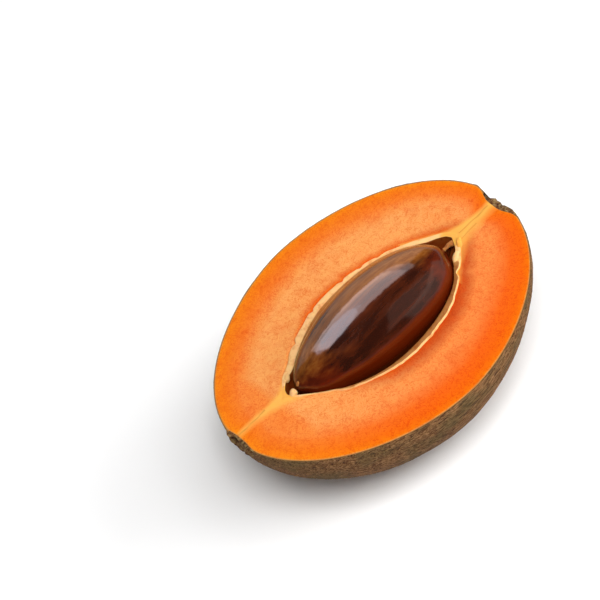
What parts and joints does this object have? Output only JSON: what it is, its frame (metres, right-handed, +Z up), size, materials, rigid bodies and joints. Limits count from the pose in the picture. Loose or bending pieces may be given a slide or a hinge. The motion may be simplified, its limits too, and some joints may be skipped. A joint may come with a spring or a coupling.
{
  "type": "mamey sapote half",
  "caption": "Half of a ripe mamey sapote cut lengthways, lying cut face up: brown rind, orange flesh with a hollow, and the glossy seed in it.",
  "frame": {"origin": "on the table, at the bottom centre of the object, in the small flat spot that the rind rests on", "axes": "+X along the fruit towards the stalk scar, +Z up, square to the cut face"},
  "size_m": [0.1396, 0.1067, 0.0669],
  "materials": {
    "rind": "matte",
    "flesh": "satin",
    "seed": "gloss"
  },
  "bodies": {
    "root": {"rind": "rind", "flesh": "flesh", "seed": "seed"}
  },
  "joints": []
}
